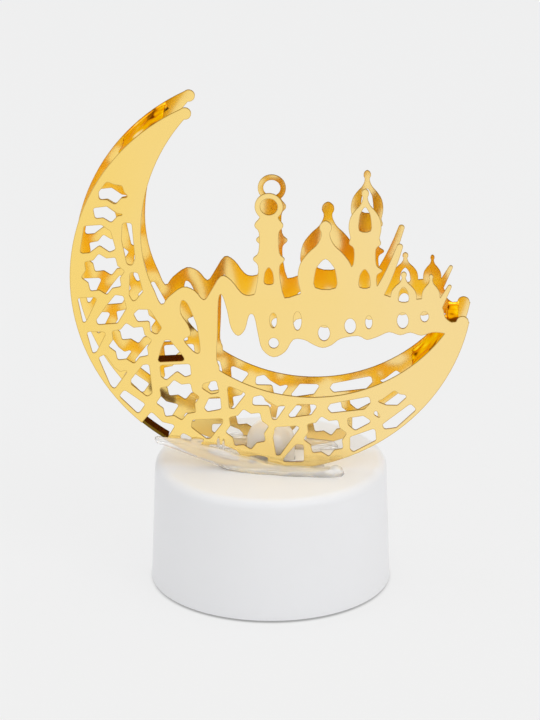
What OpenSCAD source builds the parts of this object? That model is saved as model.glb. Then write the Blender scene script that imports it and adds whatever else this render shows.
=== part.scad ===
// Crescent ornament: two pierced gilt metal moons glued on a round battery lamp base.
// Origin at the centre of the surface it rests on, +Z up, the moons face -Y.

/* [Moon sheets] */
// Radius of the moon's outer edge
moon_r = 62; // [45:1:90]
// Thickness of the metal sheet
sheet_t = 0.5; // [0.4:0.1:0.8]
// Distance between the middles of the two sheets
sheet_pitch = 17.2; // [14:0.2:20]
// How far the moon's centre stands to the right of the base's axis
moon_shift = 0.6; // [0:0.1:3]
// Depth of the flat that the moon stands on
foot_flat = 0.5; // [0.3:0.1:1.5]
// Radius of the rounded ends of the crescent
horn_r = 1.9; // [1:0.1:2.4]
// Corner radius of the strap openings
strap_corner_r = 0.7; // [0.3:0.1:1]
// Corner radius of the star openings
star_corner_r = 0.55; // [0.2:0.05:0.8]

/* [Bridges and lugs] */
// Thickness of the strips that join the sheets
strip_t = 0.6; // [0.4:0.1:0.9]
// Height of a strip's end tab, bent flat against the sheet
tab_h = 2.2; // [1.5:0.1:3]
// Depth of the short lugs folded back from the front sheet
lug_depth = 5.6; // [3:0.1:6]

/* [Base shell] */
// Diameter of the base at the bottom
base_d = 74.8; // [70:0.2:90]
// Diameter of the base just under its top rim
base_top_d = 72.4; // [69:0.2:76]
// Height of the base, feet included
base_h = 40; // [36:0.5:60]
// Radius of the rounded top rim
rim_r = 3; // [1:0.1:5]
// Wall of the shell
wall = 2; // [1.6:0.1:2.4]
// Height of the rubber feet below the shell
foot_h = 0.8; // [0.6:0.1:1.5]

/* [Light] */
// Diameter of the clear lens
lens_d = 15; // [13:0.1:16]
// Height of the lens above the base
lens_h = 13; // [9:0.5:16]
// Diameter of the LED board
board_d = 24; // [22:1:30]
// Diameter of the LED
led_d = 5; // [3:1:5]

/* [Battery bay] */
// Diameter of one cell
cell_d = 10.5; // [10:0.1:10.6]
// Length of one cell, terminal included
cell_l = 44.5; // [43.5:0.1:44.6]
// Gap between neighbouring cells
cell_gap = 0.6; // [0.4:0.1:0.8]
// Width of the bottom cover's ring round the battery cover
door_ring_w = 6; // [5.8:0.1:6.6]
// Thickness of the battery cover's disc
door_t = 1.3; // [1.1:0.1:1.5]
// Turn from locked to open, degrees
door_turn = 40; // [36:1:44]

/* [Switch] */
// Travel of the slide switch
switch_travel = 2.5; // [2:0.1:3]
// Length of the switch body
switch_l = 9; // [8.6:0.1:10]

/* [Clearances] */
// Running gap of the battery cover and the switch knob
run_gap = 0.1; // [0.05:0.01:0.15]
// Gap of pieces that drop into a seat
seat_gap = 0.2; // [0.1:0.05:0.3]

/* [Hidden] */
// Overrun of every cut past the face that it opens
over = 1;
round_fn = 96;
small_fn = 32;
corner_steps = 2;
oval_steps = 20;
curve_steps = 3;

// Places of the sheets and the moon
moon_z = base_h + moon_r - foot_flat;
front_y = -sheet_pitch / 2;
rear_y = sheet_pitch / 2;
gap_y = sheet_pitch - sheet_t;

// Inner edge of the crescent: three arcs, each [centre x, centre z, radius] of the moon's radius
inner_low_shares = [0.19, 0.205, 0.812];
inner_side_shares = [0.055, 0.24, 0.7];
inner_high_shares = [0.3, 0.24, 0.945];
// Centres of the rounded ends and the direction in which each end is cut off
upper_horn_shares = [-0.4235, 0.8735];
upper_horn_angle = 27;
right_horn_shares = [0.948, -0.19];

// Star openings: centres, reach of the points, reach of the dips between them
star_shares = [[-0.835, 0.028], [-0.703, -0.336], [-0.467, -0.635], [-0.12, -0.785], [0.27, -0.815]];
star_tip_share = 0.11;
star_dip_share = 0.086;
star_points = 8;
star_turn = 10;

// Strap openings of the lattice, corners as shares of the moon's radius
strap_shares = [
    // cut-off star and the straps under it, on the upper left arm
    [[-0.85, 0.42], [-0.81, 0.42], [-0.77, 0.395], [-0.74, 0.43], [-0.7, 0.435], [-0.725, 0.46],
     [-0.735, 0.495], [-0.775, 0.5], [-0.81, 0.515], [-0.85, 0.46]],
    [[-0.88, 0.375], [-0.81, 0.385], [-0.76, 0.35], [-0.72, 0.345], [-0.76, 0.335], [-0.79, 0.3],
     [-0.83, 0.325], [-0.87, 0.32]],
    [[-0.925, 0.28], [-0.84, 0.288], [-0.795, 0.255], [-0.77, 0.16], [-0.8, 0.145], [-0.85, 0.18],
     [-0.9, 0.14], [-0.948, 0.135]],
    [[-0.735, 0.3], [-0.69, 0.3], [-0.675, 0.115], [-0.69, 0.075], [-0.715, 0.085], [-0.74, 0.21]],
    [[-0.7, 0.04], [-0.662, 0.04], [-0.637, -0.06], [-0.685, -0.12], [-0.705, -0.08]],
    // between the first and the second whole star
    [[-0.963, -0.1], [-0.862, -0.094], [-0.915, -0.21], [-0.935, -0.24]],
    [[-0.82, -0.14], [-0.775, -0.08], [-0.735, -0.085], [-0.72, -0.15], [-0.765, -0.23],
     [-0.865, -0.24], [-0.87, -0.215]],
    [[-0.685, -0.18], [-0.66, -0.155], [-0.605, -0.155], [-0.545, -0.25], [-0.57, -0.288],
     [-0.6, -0.27], [-0.605, -0.215], [-0.665, -0.22]],
    [[-0.92, -0.278], [-0.82, -0.278], [-0.872, -0.385], [-0.89, -0.395]],
    // between the second and the third
    [[-0.862, -0.415], [-0.83, -0.398], [-0.785, -0.465], [-0.755, -0.49], [-0.71, -0.475],
     [-0.785, -0.585], [-0.805, -0.56]],
    [[-0.64, -0.45], [-0.61, -0.445], [-0.595, -0.6], [-0.62, -0.62], [-0.7, -0.555],
     [-0.7, -0.53]],
    [[-0.568, -0.434], [-0.548, -0.36], [-0.53, -0.315], [-0.505, -0.315], [-0.45, -0.385],
     [-0.425, -0.424]],
    [[-0.556, -0.45], [-0.405, -0.44], [-0.4, -0.5], [-0.43, -0.51], [-0.47, -0.48],
     [-0.525, -0.53], [-0.55, -0.51]],
    [[-0.735, -0.585], [-0.63, -0.66], [-0.665, -0.715], [-0.76, -0.62]],
    // between the third and the fourth
    [[-0.6, -0.7], [-0.545, -0.755], [-0.48, -0.77], [-0.52, -0.838], [-0.56, -0.852],
     [-0.66, -0.775]],
    [[-0.445, -0.81], [-0.4, -0.835], [-0.4, -0.865], [-0.46, -0.84]],
    [[-0.395, -0.74], [-0.24, -0.73], [-0.245, -0.755], [-0.305, -0.838], [-0.325, -0.84],
     [-0.4, -0.78]],
    [[-0.34, -0.545], [-0.275, -0.525], [-0.26, -0.59], [-0.3, -0.6], [-0.345, -0.57]],
    [[-0.31, -0.62], [-0.255, -0.612], [-0.25, -0.68], [-0.32, -0.695], [-0.335, -0.675]],
    [[-0.22, -0.55], [-0.125, -0.592], [-0.185, -0.675], [-0.21, -0.675]],
    // between the fourth and the fifth
    [[-0.09, -0.61], [-0.05, -0.6], [-0.02, -0.63], [0.03, -0.66], [0.08, -0.645],
     [0.025, -0.73], [0.005, -0.73], [-0.01, -0.655], [-0.095, -0.655]],
    [[0.13, -0.645], [0.235, -0.645], [0.2, -0.7], [0.095, -0.718], [0.085, -0.705]],
    [[0.02, -0.77], [0.15, -0.76], [0.045, -0.92], [0.025, -0.925], [0.01, -0.83]],
    // low openings over the foot
    [[-0.315, -0.872], [-0.245, -0.87], [-0.175, -0.9], [-0.155, -0.925], [-0.165, -0.957],
     [-0.25, -0.942], [-0.315, -0.915]],
    [[-0.115, -0.93], [-0.06, -0.925], [-0.015, -0.935], [-0.02, -0.965], [-0.11, -0.965]],
    [[0.125, -0.86], [0.162, -0.862], [0.165, -0.955], [0.055, -0.957], [0.068, -0.93]],
    // between the fifth star and the bare metal on the right
    [[0.295, -0.64], [0.49, -0.595], [0.495, -0.63], [0.465, -0.665], [0.3, -0.688],
     [0.28, -0.665]],
    [[0.38, -0.715], [0.46, -0.7], [0.505, -0.73], [0.42, -0.78], [0.385, -0.75]],
    [[0.395, -0.815], [0.52, -0.765], [0.525, -0.83], [0.41, -0.897], [0.395, -0.88]],
    [[0.555, -0.61], [0.615, -0.56], [0.64, -0.58], [0.685, -0.585], [0.63, -0.64],
     [0.575, -0.64], [0.525, -0.62]],
    [[0.522, -0.665], [0.555, -0.72], [0.51, -0.69]],
    [[0.555, -0.745], [0.695, -0.63], [0.725, -0.66], [0.625, -0.76], [0.565, -0.77]]];

// Slit that only the rear sheet has, beside the web
rear_slit_shares = [[-0.622, -0.118], [-0.603, -0.106], [-0.548, -0.208], [-0.554, -0.236],
                    [-0.582, -0.222]];

// Solid web that carries the ornament band at the left, and the band's own outline
web_shares = [
    [-0.61, -0.03], [-0.548, -0.125], [-0.51, -0.085], [-0.44, -0.032], [-0.38, -0.05],
    [-0.335, -0.098], [-0.3, -0.05], [-0.25, 0.03], [-0.2, 0.01], [-0.15, -0.055],
    [-0.11, -0.07], [-0.04, -0.055], [0.065, -0.08], [0.16, -0.05], [0.4, 0.02], [0.5, -0.03],
    [0.58, -0.06], [0.65, -0.08], [0.78, -0.07], [0.845, -0.11], [0.862, -0.165], [0.895, -0.192],
    [0.93, -0.19], [0.925, -0.27], [0.855, -0.25], [0.8, -0.247], [0.745, -0.265], [0.69, -0.25],
    [0.64, -0.265], [0.585, -0.25], [0.53, -0.275], [0.475, -0.293], [0.43, -0.273],
    [0.345, -0.29], [0.3, -0.325], [0.255, -0.34], [0.21, -0.325], [0.165, -0.3], [0.11, -0.3],
    [0.07, -0.365], [0.01, -0.395], [-0.045, -0.355], [-0.065, -0.28], [-0.085, -0.18],
    [-0.11, -0.175], [-0.13, -0.25], [-0.165, -0.285], [-0.2, -0.245], [-0.22, -0.15],
    [-0.245, -0.07], [-0.262, -0.1], [-0.268, -0.3], [-0.272, -0.41], [-0.258, -0.473],
    [-0.3, -0.57], [-0.45, -0.55], [-0.62, -0.2]];
// Drop-shaped opening in the web
drop_shares = [[-0.445, -0.105], [-0.42, -0.115], [-0.395, -0.17], [-0.37, -0.24],
               [-0.355, -0.36], [-0.37, -0.383], [-0.4, -0.36], [-0.435, -0.31], [-0.4, -0.285],
               [-0.415, -0.23], [-0.45, -0.17]];

// Oval eyelets in the band: [x, z, width, height]
eyelet_shares = [[0.262, -0.262, 0.058, 0.082], [0.392, -0.222, 0.056, 0.08],
                 [0.484, -0.2, 0.034, 0.07], [0.652, -0.188, 0.056, 0.084],
                 [0.012, -0.32, 0.05, 0.055], [0.13, -0.2, 0.04, 0.1], [0.76, -0.165, 0.04, 0.055],
                 [0.01, -0.2, 0.035, 0.08]];
// Domes, on the band and as the towers' heads: [x, foot z, width, height]
dome_shares = [[0.268, -0.09, 0.255, 0.42], [0.462, 0.215, 0.15, 0.285], [0.655, -0.12, 0.12, 0.19],
               [0.79, -0.11, 0.085, 0.17]];
// Half profile of a dome: [share of half the width, share of the height]
dome_profile_shares = [[0.9, 0], [0.96, 0.1], [1.08, 0.28], [0.98, 0.46], [0.66, 0.6],
                       [0.36, 0.69], [0.2, 0.78], [0.17, 0.85], [0.24, 0.9], [0.2, 0.96], [0, 1]];
// Slim towers: [x, foot z, width, height]
tower_shares = [[-0.012, -0.12, 0.14, 0.5], [0.462, -0.12, 0.155, 0.4]];
// Half profile of a tower: [share of half the width, share of the height]
tower_profile_shares = [[1.1, 0], [0.95, 0.15], [0.78, 0.3], [0.78, 0.42], [1.08, 0.47],
                        [1.08, 0.5], [0.74, 0.56], [0.7, 0.76], [0.98, 0.82], [0.98, 0.86],
                        [0.66, 0.92], [0.6, 1]];
// Ring that crowns the left tower: [x, z, outer radius, inner radius]
crown_shares = [-0.012, 0.398, 0.07, 0.043];
// Leaves: a root, a bend and a tip, then a width
leaf_shares = [[[0.5, -0.1], [0.57, 0.0], [0.634, 0.2], 0.062],
               [[0.82, -0.13], [0.85, -0.07], [0.882, -0.005], 0.04]];
// Pointed windows in the domes: [x, foot z, width, height]
window_shares = [[0.268, -0.03, 0.1, 0.16], [0.462, 0.275, 0.055, 0.13], [0.655, -0.09, 0.045, 0.08],
                 [0.462, -0.02, 0.05, 0.1], [-0.012, -0.01, 0.042, 0.09]];
// Half profile of a window: [share of half the width, share of the height]
window_profile_shares = [[1, 0.05], [1, 0.55], [0.72, 0.78], [0, 1]];

// Rounded polygon: every corner becomes an arc of at most r, cut down where a side is short
function unit(v) = v / norm(v);
function corner(a, b, c, r) =
    let (u = unit(a - b), w = unit(c - b), half = acos(max(-0.99, min(0.99, u * w))) / 2,
         reach = min(r / tan(half), norm(a - b) * 0.45, norm(c - b) * 0.45),
         real_r = reach * tan(half), m = b + unit(u + w) * (real_r / sin(half)),
         p = b + u * reach, q = b + w * reach,
         p_turn = atan2(p[1] - m[1], p[0] - m[0]), q_turn = atan2(q[1] - m[1], q[0] - m[0]),
         sweep = ((q_turn - p_turn + 540) % 360) - 180)
    [for (i = [0 : corner_steps])
        m + real_r * [cos(p_turn + sweep * i / corner_steps), sin(p_turn + sweep * i / corner_steps)]];
function rounded(points, r) =
    let (n = len(points))
    [for (i = [0 : n - 1])
        each corner(points[(i + n - 1) % n], points[i], points[(i + 1) % n], r)];

// Smooth closed curve through the points
function spline(a, b, c, d, t) =
    ((2 * b) + (c - a) * t + (2 * a - 5 * b + 4 * c - d) * t * t
        + (3 * b - a - 3 * c + d) * t * t * t) / 2;
function smooth(points) =
    let (n = len(points))
    [for (i = [0 : n - 1]) for (s = [0 : curve_steps - 1])
        spline(points[(i + n - 1) % n], points[i], points[(i + 1) % n], points[(i + 2) % n],
               s / curve_steps)];

// Leaves of the band
leaf_taper_share = 0.5;
leaf_steps = 6;

// Strips and lugs: the angles that they span round their arc, or their place on the sheet
arc_steps = 8;
upper_bridge_angles = [123, 139];
right_bridge_angles = [-52, -35];
// [left end, right end, height]
notch_shares = [0.87, 0.925, -0.19];
// [left end, height, length]
inner_lug_shares = [-0.572, -0.446, 0.158];
inner_lug_angle = 4;
lug_foot_h = 1.1;
lower_lug_angles = [229.5, 238.5];
lower_lug_foot = 0.9;

// Glue beads: [left end, right end] and radius
front_glue_shares = [-0.42, 0.32];
rear_glue_shares = [-0.36, 0.3];
glue_r = 3;

// Base interior, from the top down and from the bottom up
top_under = base_h - wall;
flange_w = 2;
flange_r = lens_d / 2 + flange_w;
flange_t = 1.2;
lens_wall = 1.3;
board_t = 1.2;
board_seat = 1.8;
seat_wall = 1.4;
cover_t = 2.6;
cover_top = foot_h + cover_t;
cover_r = base_d / 2 - wall - seat_gap;
door_d = 2 * (cover_r - door_ring_w);
boss_r = 2.5;
boss_at = cover_r - boss_r - seat_gap;
boss_angles = [60, 120, 240, 300];
pilot_r = 0.9;
screw_reach = 7;
screw_r = 0.9;
screw_hole_r = 1.15;
screw_head_r = 2;
screw_head_t = 1.3;
foot_r = 2.4;
foot_angles = [45, 135, 225, 315];
foot_sink = 0.5;

// Battery cover: disc below the ledge, neck through it, three lugs above it
ledge_z = foot_h + door_t + run_gap;
ledge_r = door_d / 2 - 1.6;
neck_r = ledge_r - run_gap;
lug_r = door_d / 2 - run_gap;
lug_t = 1.2;
lug_count = 3;
lug_span = 26;
lug_notch_span = 32;
door_recess_t = 0.7;
grip_w = 4;
grip_l = 34;
grip_dish_r = 13;

// Battery tray: walls, spring room and the cells' places
tray_wall = 1.4;
plate_t = 0.4;
spring_l = 3;
cell_pitch = cell_d + cell_gap;
tray_in_l = cell_l + spring_l + 2 * plate_t;
tray_in_w = 3 * cell_d + 2 * cell_gap + 2 * seat_gap;
tray_z = cover_top + run_gap + lug_t + 2 * seat_gap;
cell_z = tray_z + seat_gap + cell_d / 2;
tray_top_in = cell_z + cell_d / 2 + seat_gap;
leg_r = 1.2;
saddle_w = 1.4;
saddle_drop = 2.4;
nub_d = 3.8;
nub_l = 1;
plate_w = 8;
tag_w = 2.6;
tag_rise = 2.4;
spring_wire = 0.6;
spring_foot_r = 3.4;
spring_head_r = 2.2;

// Slide switch, its body on the bottom cover at the back
switch_w = 3.7;
switch_h = 4.6;
// Radius of the shell's leaning inner wall at the height of the switch's top
switch_top_share = (cover_top + switch_h - foot_h) / (top_under - rim_r - foot_h);
switch_wall_r = cover_r - (base_d - base_top_d) / 2 * switch_top_share;
switch_y = (door_d / 2 + switch_wall_r) / 2 + run_gap;
switch_wall = 0.6;
knob_l = 2;
knob_w = 1.4;
carriage_l = 3.6;
carriage_w = 2.2;
carriage_t = 1.2;
knob_rise = 0.3;
dish_l = 8.4;
dish_w = 4;
dish_t = 0.9;
terminal_w = 0.8;
terminal_h = 2;

// Where the first lug of the battery cover lies, degrees
lug_place = 10;
screw_slot_w = 0.7;

// LED pins, collar and the resistor under the board
led_collar = 0.4;
led_collar_t = 1;
led_body_h = 5.4;
led_pin_x = 1.27;
led_pin_r = 0.4;
led_pin_out = 1;
pin_gap = 0.1;
resistor_d = 2.2;
resistor_l = 6;
resistor_wire_r = 0.3;
resistor_wire_l = 1.6;
resistor_y = -5;

// Leads
lead_r = 0.65;
bend_ball_share = 1.06;
lead_bend = 2;

// Flat forms in the moon's own plane, its centre at the origin
module oval(at, size) {
    translate(at * moon_r)
        polygon([for (i = [0 : oval_steps - 1])
            [size[0] * cos(360 * i / oval_steps), size[1] * sin(360 * i / oval_steps)] * moon_r / 2]);
}

module arc_disc(arc) {
    translate([arc[0], arc[1]] * moon_r) circle(r = arc[2] * moon_r, $fn = round_fn);
}

// Crescent between its outer and inner edges, ends rounded, foot cut flat
module moon_outline() {
    difference() {
        circle(r = moon_r, $fn = round_fn);
        arc_disc(inner_low_shares);
        arc_disc(inner_side_shares);
        intersection() {
            arc_disc(inner_high_shares);
            translate([-moon_r, inner_high_shares[1] * moon_r]) square(moon_r * 2);
        }
        translate(upper_horn_shares * moon_r) rotate(upper_horn_angle)
            translate([0, -moon_r / 2]) square(moon_r);
        translate([moon_r / 2, right_horn_shares[1] * moon_r]) square(moon_r);
        translate([-moon_r, -moon_r - over]) square([moon_r * 2, foot_flat + over]);
    }
}

module star_opening(at) {
    points = [for (i = [0 : 2 * star_points - 1])
        let (turn = star_turn + i * 180 / star_points,
             reach = i % 2 == 0 ? star_tip_share : star_dip_share)
        (at + reach * [cos(turn), sin(turn)]) * moon_r];
    polygon(rounded(points, star_corner_r));
}

// Form that is the same on both sides of its middle, drawn from a half profile
module turned_form(place, profile) {
    right = [for (p = profile) [p[0] * place[2] / 2, p[1] * place[3]]];
    left = [for (i = [len(right) - 1 : -1 : 0]) if (right[i][0] > 0) [-right[i][0], right[i][1]]];
    translate([place[0], place[1]] * moon_r) polygon(smooth(concat(right, left)) * moon_r);
}

// Leaf: a bent stroke that narrows to a round tip
function bend(l, t) = (1 - t) * (1 - t) * l[0] + 2 * t * (1 - t) * l[1] + t * t * l[2];
function bend_side(l, t) =
    let (d = unit((1 - t) * (l[1] - l[0]) + t * (l[2] - l[1]))) [-d[1], d[0]];
function leaf_half(l, t) = l[3] / 2 * (1 - leaf_taper_share * t);
module leaf(l) {
    steps = [for (i = [0 : leaf_steps]) i / leaf_steps];
    left = [for (t = steps) bend(l, t) + bend_side(l, t) * leaf_half(l, t)];
    right = [for (t = steps) bend(l, 1 - t) - bend_side(l, 1 - t) * leaf_half(l, 1 - t)];
    polygon(concat(left, right) * moon_r);
}

// Openings of a sheet, flat
module sheet_openings() {
    for (at = star_shares) star_opening(at);
    for (strap = strap_shares) polygon(rounded(strap * moon_r, strap_corner_r));
    polygon(smooth(drop_shares) * moon_r);
    for (e = eyelet_shares) oval([e[0], e[1]], [e[2], e[3]]);
    for (w = window_shares) turned_form(w, window_profile_shares);
    translate([crown_shares[0], crown_shares[1]] * moon_r)
        circle(r = crown_shares[3] * moon_r, $fn = small_fn);
}

// One sheet: crescent, band, domes, towers, crown and leaves in one piece, openings cut through;
// children are flat forms that are cut out of this sheet alone
module sheet() {
    difference() {
        union() {
            linear_extrude(sheet_t) moon_outline();
            for (end = [upper_horn_shares, right_horn_shares])
                translate(end * moon_r) cylinder(r = horn_r, h = sheet_t, $fn = small_fn);
            linear_extrude(sheet_t) polygon(smooth(web_shares) * moon_r);
            for (d = dome_shares) linear_extrude(sheet_t) turned_form(d, dome_profile_shares);
            for (t = tower_shares) linear_extrude(sheet_t) turned_form(t, tower_profile_shares);
            translate([crown_shares[0], crown_shares[1]] * moon_r)
                cylinder(r = crown_shares[2] * moon_r, h = sheet_t, $fn = round_fn);
            for (l = leaf_shares) {
                linear_extrude(sheet_t) leaf(l);
                translate(l[2] * moon_r)
                    cylinder(r = leaf_half(l, 1) * moon_r, h = sheet_t, $fn = small_fn);
            }
        }
        translate([0, 0, -over]) linear_extrude(sheet_t + 2 * over) {
            sheet_openings();
            children();
        }
    }
}

// Stands a flat form upright behind the plane y, towards +Y
module upright(y) {
    translate([moon_shift, y, moon_z]) rotate([90, 0, 0]) mirror([0, 0, 1]) children();
}

module front_crescent() {
    color([0.95, 0.8, 0.42]) upright(front_y - sheet_t / 2) sheet();
}

module rear_crescent() {
    color([0.93, 0.68, 0.2]) upright(rear_y - sheet_t / 2) sheet()
        polygon(rounded(rear_slit_shares * moon_r, strap_corner_r));
}

// Part of a ring between two radii and two angles, flat
module ring_part(centre, inner, outer, angles) {
    steps = [for (i = [0 : arc_steps]) angles[0] + (angles[1] - angles[0]) * i / arc_steps];
    translate(centre * moon_r)
        polygon(concat([for (a = steps) outer * [cos(a), sin(a)]],
                       [for (i = [arc_steps : -1 : 0]) inner * [cos(steps[i]), sin(steps[i])]]));
}

// Strip across the whole gap, with an end tab flat against each sheet; the two forms are
// the strip's own outline and its tab's outline
module bridge() {
    upright(-gap_y / 2) linear_extrude(gap_y) children(0);
    for (y = [-gap_y / 2, gap_y / 2 - strip_t])
        upright(y) linear_extrude(strip_t) children(1);
}

module bridge_upper_left() {
    color([0.98, 0.74, 0.12]) bridge() {
        ring_part([0, 0], moon_r - strip_t, moon_r, upper_bridge_angles);
        ring_part([0, 0], moon_r - tab_h, moon_r, upper_bridge_angles);
    }
}

module bridge_right_rim() {
    rim = inner_low_shares[2] * moon_r;
    at = [inner_low_shares[0], inner_low_shares[1]];
    color([0.98, 0.74, 0.12]) bridge() {
        ring_part(at, rim, rim + strip_t, right_bridge_angles);
        ring_part(at, rim, rim + tab_h, right_bridge_angles);
    }
}

module bridge_right_notch() {
    color([0.98, 0.74, 0.12]) bridge() {
        translate([notch_shares[0], notch_shares[2]] * moon_r - [0, strip_t])
            square([(notch_shares[1] - notch_shares[0]) * moon_r, strip_t]);
        translate([notch_shares[0], notch_shares[2]] * moon_r - [0, tab_h])
            square([(notch_shares[1] - notch_shares[0]) * moon_r, tab_h]);
    }
}

// Lug folded back from the front sheet: its foot lies on the sheet, its blade stands off it
module lug() {
    upright(-gap_y / 2) linear_extrude(lug_depth) children(0);
    upright(-gap_y / 2) linear_extrude(strip_t) children(1);
}

module lug_inner_left() {
    length = inner_lug_shares[2] * moon_r;
    color([0.3, 0.2, 0.06]) lug() {
        translate([inner_lug_shares[0], inner_lug_shares[1]] * moon_r) rotate(inner_lug_angle)
            square([length, strip_t]);
        translate([inner_lug_shares[0], inner_lug_shares[1]] * moon_r) rotate(inner_lug_angle)
            translate([0, strip_t - lug_foot_h]) square([length, lug_foot_h]);
    }
}

module lug_lower_left() {
    color([0.3, 0.2, 0.06]) lug() {
        ring_part([0, 0], moon_r - strip_t, moon_r, lower_lug_angles);
        ring_part([0, 0], moon_r - lower_lug_foot, moon_r, lower_lug_angles);
    }
}

// Bead of clear glue lying on the base along the foot of a sheet
module glue_bead(y, from, to, r) {
    color([0.93, 0.93, 0.9, 0.5]) difference() {
        union() {
            translate([from, y, base_h]) rotate([0, 90, 0])
                cylinder(r = r, h = to - from, $fn = round_fn);
            for (x = [from, to]) translate([x, y, base_h]) sphere(r = r, $fn = round_fn);
        }
        translate([-base_d, -base_d, base_h - base_d]) cube([base_d * 2, base_d * 2, base_d]);
        upright(y - sheet_t / 2) linear_extrude(sheet_t) circle(r = moon_r, $fn = round_fn);
        translate([0, 0, base_h - over]) cylinder(d = lens_d + 2 * seat_gap, h = lens_h, $fn = round_fn);
    }
}

module glue_front() {
    glue_bead(front_y, front_glue_shares[0] * moon_r, front_glue_shares[1] * moon_r, glue_r);
}

module glue_rear() {
    glue_bead(rear_y, rear_glue_shares[0] * moon_r, rear_glue_shares[1] * moon_r, glue_r);
}

// Base shell: turned outline with a rounded rim, hollow below
module base_outline(grow) {
    top_r = base_top_d / 2 - grow;
    low_r = base_d / 2 - grow;
    top_z = base_h - grow;
    rim = max(rim_r - grow, rim_r / 4);
    polygon([[0, foot_h], [low_r, foot_h], [top_r, top_z - rim], [top_r - rim, top_z - rim],
             [top_r - rim, top_z], [0, top_z]]);
    translate([top_r - rim, top_z - rim]) circle(r = rim, $fn = round_fn);
}

module base_shell() {
    color([0.93, 0.93, 0.94]) {
        difference() {
            rotate_extrude($fn = round_fn) difference() {
                base_outline(0);
                base_outline(wall);
                translate([0, foot_h - over]) square([base_d / 2 - wall, cover_t + over]);
            }
            translate([0, 0, base_h - wall - over])
                cylinder(d = lens_d + 2 * seat_gap, h = wall + 2 * over, $fn = round_fn);
        }
        rotate_extrude($fn = round_fn) {
            translate([flange_r + seat_gap, top_under - flange_t]) square([seat_wall, flange_t]);
            translate([board_d / 2 + seat_gap, top_under - flange_t - board_seat])
                square([seat_wall, flange_t + board_seat]);
            translate([flange_r + seat_gap, top_under - flange_t])
                square([board_d / 2 - flange_r + seat_wall, flange_t]);
        }
        for (a = boss_angles) rotate(a) difference() {
            translate([boss_at, 0, cover_top])
                cylinder(r = boss_r, h = top_under - cover_top, $fn = small_fn);
            translate([boss_at, 0, cover_top - over])
                cylinder(r = pilot_r, h = screw_reach + 2 * over, $fn = small_fn);
        }
    }
}

// Clear lens: hollow dome with a flange under the base's top
module light_lens() {
    color([0.9, 0.9, 0.88, 0.4]) rotate_extrude($fn = round_fn) difference() {
        union() {
            translate([0, top_under - flange_t]) square([flange_r, flange_t]);
            lens_half(lens_d / 2, base_h + lens_h);
        }
        lens_half(lens_d / 2 - lens_wall, base_h + lens_h - lens_wall);
    }
}

module lens_half(r, top) {
    translate([0, top_under - flange_t]) square([r, top - r - top_under + flange_t]);
    intersection() {
        translate([0, top - r]) circle(r = r, $fn = round_fn);
        translate([0, top - r]) square(r);
    }
}

module led_board() {
    z = top_under - flange_t - board_t;
    color([0.9, 0.9, 0.86]) difference() {
        translate([0, 0, z]) cylinder(d = board_d, h = board_t, $fn = round_fn);
        for (x = [-1, 1]) translate([x * led_pin_x, 0, z - over])
            cylinder(r = led_pin_r, h = board_t + 2 * over, $fn = small_fn);
    }
}

// LED with its collar on the board and two pins through it
module led_lamp() {
    z = top_under - flange_t;
    color([0.95, 0.95, 0.8, 0.7]) {
        translate([0, 0, z]) cylinder(r = led_d / 2 + led_collar, h = led_collar_t, $fn = small_fn);
        translate([0, 0, z]) cylinder(d = led_d, h = led_body_h, $fn = small_fn);
        translate([0, 0, z + led_body_h]) sphere(d = led_d, $fn = small_fn);
        for (x = [-1, 1]) translate([x * led_pin_x, 0, z - board_t - led_pin_out])
            cylinder(r = led_pin_r - pin_gap, h = board_t + led_pin_out + led_collar_t, $fn = small_fn);
    }
}

// Resistor lying under the board on two bent wires
module board_resistor() {
    z = top_under - flange_t - board_t;
    drop = resistor_d / 2 + seat_gap;
    color([0.75, 0.65, 0.45]) translate([0, resistor_y, 0]) {
        translate([-resistor_l / 2, 0, z - drop]) rotate([0, 90, 0])
            cylinder(d = resistor_d, h = resistor_l, $fn = small_fn);
        for (x = [-1, 1]) {
            translate([x * resistor_l / 2, 0, z - drop]) rotate([0, 90 * x, 0])
                cylinder(r = resistor_wire_r, h = resistor_wire_l, $fn = small_fn);
            translate([x * (resistor_l / 2 + resistor_wire_l), 0, z - drop])
                sphere(r = resistor_wire_r, $fn = small_fn);
            translate([x * (resistor_l / 2 + resistor_wire_l), 0, z - drop])
                cylinder(r = resistor_wire_r, h = drop, $fn = small_fn);
        }
    }
}

module ring_sector(inner, outer, z0, z1, middle, span) {
    steps = [for (i = [0 : arc_steps]) middle + span * (i / arc_steps - 0.5)];
    intersection() {
        translate([0, 0, z0]) difference() {
            cylinder(r = outer, h = z1 - z0, $fn = round_fn);
            translate([0, 0, -over]) cylinder(r = inner, h = z1 - z0 + 2 * over, $fn = round_fn);
        }
        translate([0, 0, z0]) linear_extrude(z1 - z0)
            polygon(concat([[0, 0]], [for (a = steps) outer * 2 * [cos(a), sin(a)]]));
    }
}

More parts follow.
